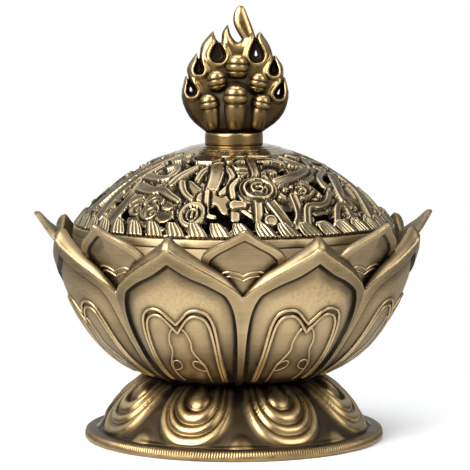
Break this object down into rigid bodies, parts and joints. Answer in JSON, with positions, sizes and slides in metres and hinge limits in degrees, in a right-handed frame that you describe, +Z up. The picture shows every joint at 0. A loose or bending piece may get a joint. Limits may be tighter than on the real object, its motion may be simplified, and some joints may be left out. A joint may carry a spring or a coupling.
{
  "type": "incense burner",
  "caption": "Lotus-shaped metal incense burner: petalled bowl on a flared petal foot, with a lift-off pierced domed lid, a flaming-jewel finial, a heat mat and a loose stick holder inside.",
  "frame": {"origin": "on the burner's axis, at the table surface under the foot", "axes": "+Z up along the axis of the bowl and lid; -Y is the front, the side that the flat face of the flame finial and one inner petal point to"},
  "size_m": [0.0992, 0.0992, 0.1106],
  "materials": {
    "foot_bronze": "antique bronze plating, polished on the ridges, dark in the grooves",
    "petal_bronze": "brushed satin antique bronze, dark grooves, brassy edges",
    "bowl_bronze": "brushed satin antique bronze, dark grooves",
    "lid_bronze": "antique bronze, near-black recesses, polished high spots",
    "finial_bronze": "polished antique bronze, dark recesses",
    "holder_brass": "plain turned brass",
    "zinc_steel": "zinc-plated steel",
    "glass_fibre": "matted white glass fibre"
  },
  "bodies": {
    "burner": {"lotus_foot": "foot_bronze", "outer_petal_cup": "petal_bronze", "inner_fire_bowl": "bowl_bronze", "foot_screw": "zinc_steel", "foot_spring_washer": "zinc_steel", "foot_washer": "zinc_steel", "heat_mat": "glass_fibre"},
    "holder": {"incense_holder": "holder_brass"},
    "lid": {"lid_dome": "lid_bronze", "finial_collar": "finial_bronze", "flame_finial": "finial_bronze", "finial_screw": "zinc_steel", "finial_spring_washer": "zinc_steel", "finial_washer": "zinc_steel"}
  },
  "joints": [
    {"name": "lid_lift", "type": "slide", "parent": "burner", "child": "lid", "axis": [0, 0, 1], "range_m": [0, 0.12]},
    {"name": "holder_lift", "type": "slide", "parent": "burner", "child": "holder", "axis": [0, 0, 1], "range_m": [0, 0.025]}
  ]
}
